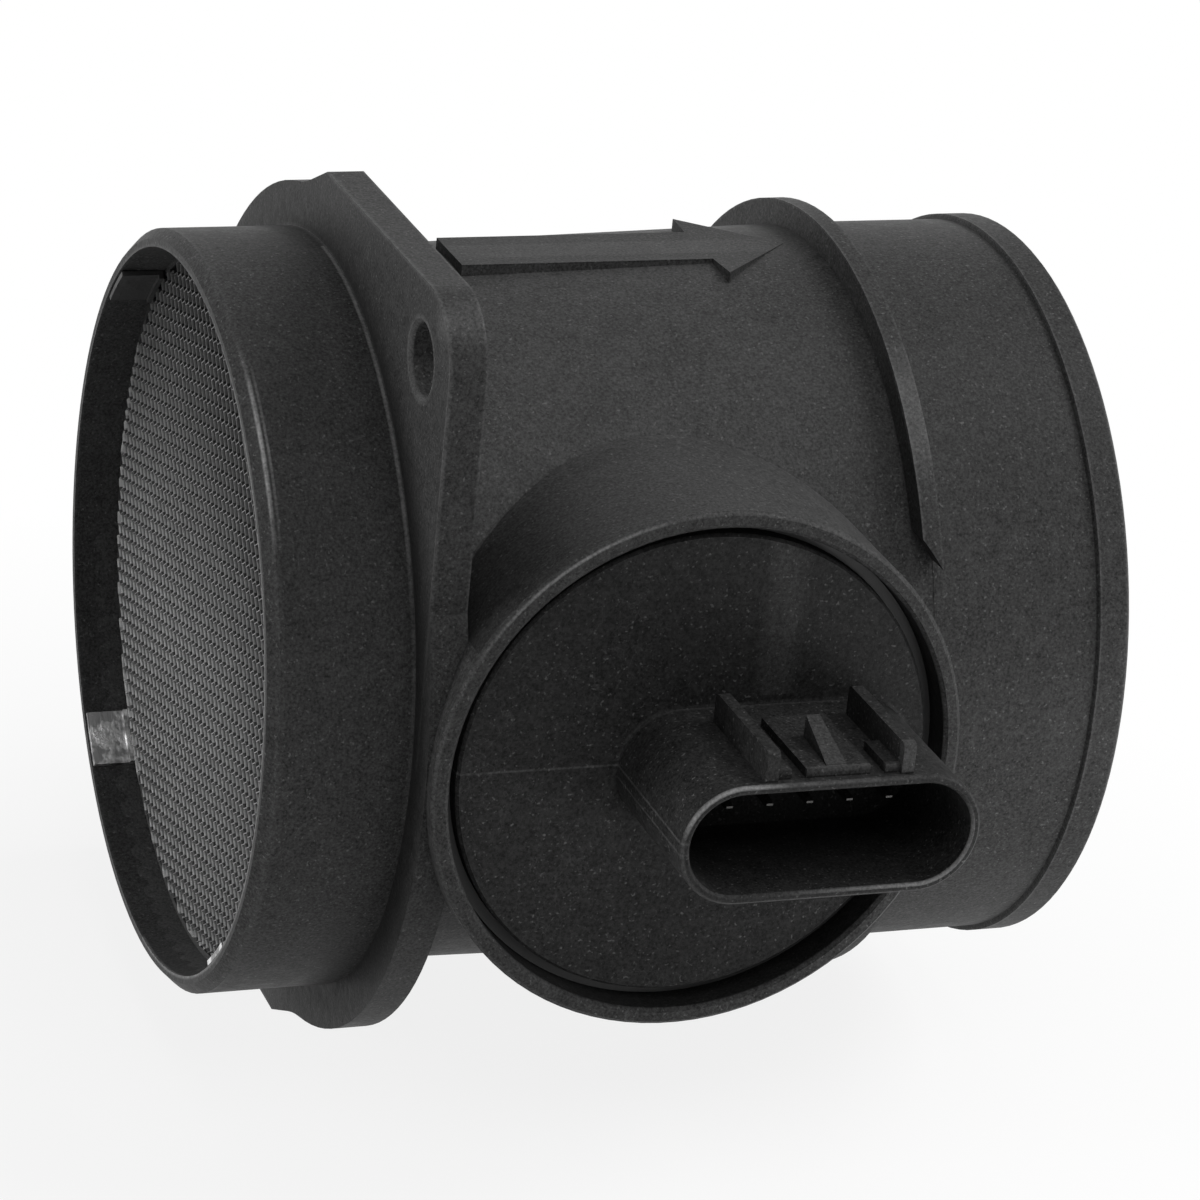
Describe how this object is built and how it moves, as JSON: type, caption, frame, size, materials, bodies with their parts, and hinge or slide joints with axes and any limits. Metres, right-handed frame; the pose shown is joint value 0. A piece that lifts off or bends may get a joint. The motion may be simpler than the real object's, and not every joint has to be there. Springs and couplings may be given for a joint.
{
  "type": "mass airflow sensor",
  "caption": "In-line engine mass airflow sensor: round duct with inlet collar and honeycomb, bolt flange, flow arrow, hose stop ring, side boss and keyed electrical connector.",
  "frame": {"origin": "on the duct's axis, in the flange face that meets the air box", "axes": "+X the way the air flows, towards the hose; +Z the side with the flow arrow; the boss stands to -Y"},
  "size_m": [0.09, 0.1044, 0.0926],
  "materials": {
    "housing": "moulded glass-filled black plastic",
    "cover": "moulded glass-filled black plastic",
    "straightener": "dull expanded foil honeycomb",
    "clip_steel": "bright spring strip",
    "terminal": "tin-plated contact strip",
    "seal": "cured black bead",
    "gasket": "soft sheet",
    "probe": "fine moulded black plastic",
    "film": "glassy film on ceramic",
    "thermistor": "dipped bead on plated leads",
    "plate": "rolled sheet",
    "board": "fired ceramic board",
    "chip": "moulded package",
    "resistor": "coated film",
    "capacitor": "fired ceramic"
  },
  "bodies": {
    "root": {"housing": "housing", "connector_cover": "cover", "flow_straightener": "straightener", "straightener_clip_1": "clip_steel", "straightener_clip_2": "clip_steel", "straightener_clip_3": "clip_steel", "straightener_clip_4": "clip_steel", "terminal_1": "terminal", "terminal_2": "terminal", "terminal_3": "terminal", "terminal_4": "terminal", "terminal_5": "terminal", "cover_seal": "seal", "probe_gasket": "gasket", "probe_body": "probe", "probe_lid": "probe", "flow_element": "film", "air_thermistor": "thermistor", "base_plate": "plate", "circuit_board": "board", "signal_chip": "chip", "resistor_network": "resistor", "capacitor_1": "capacitor", "capacitor_2": "capacitor"}
  },
  "joints": []
}
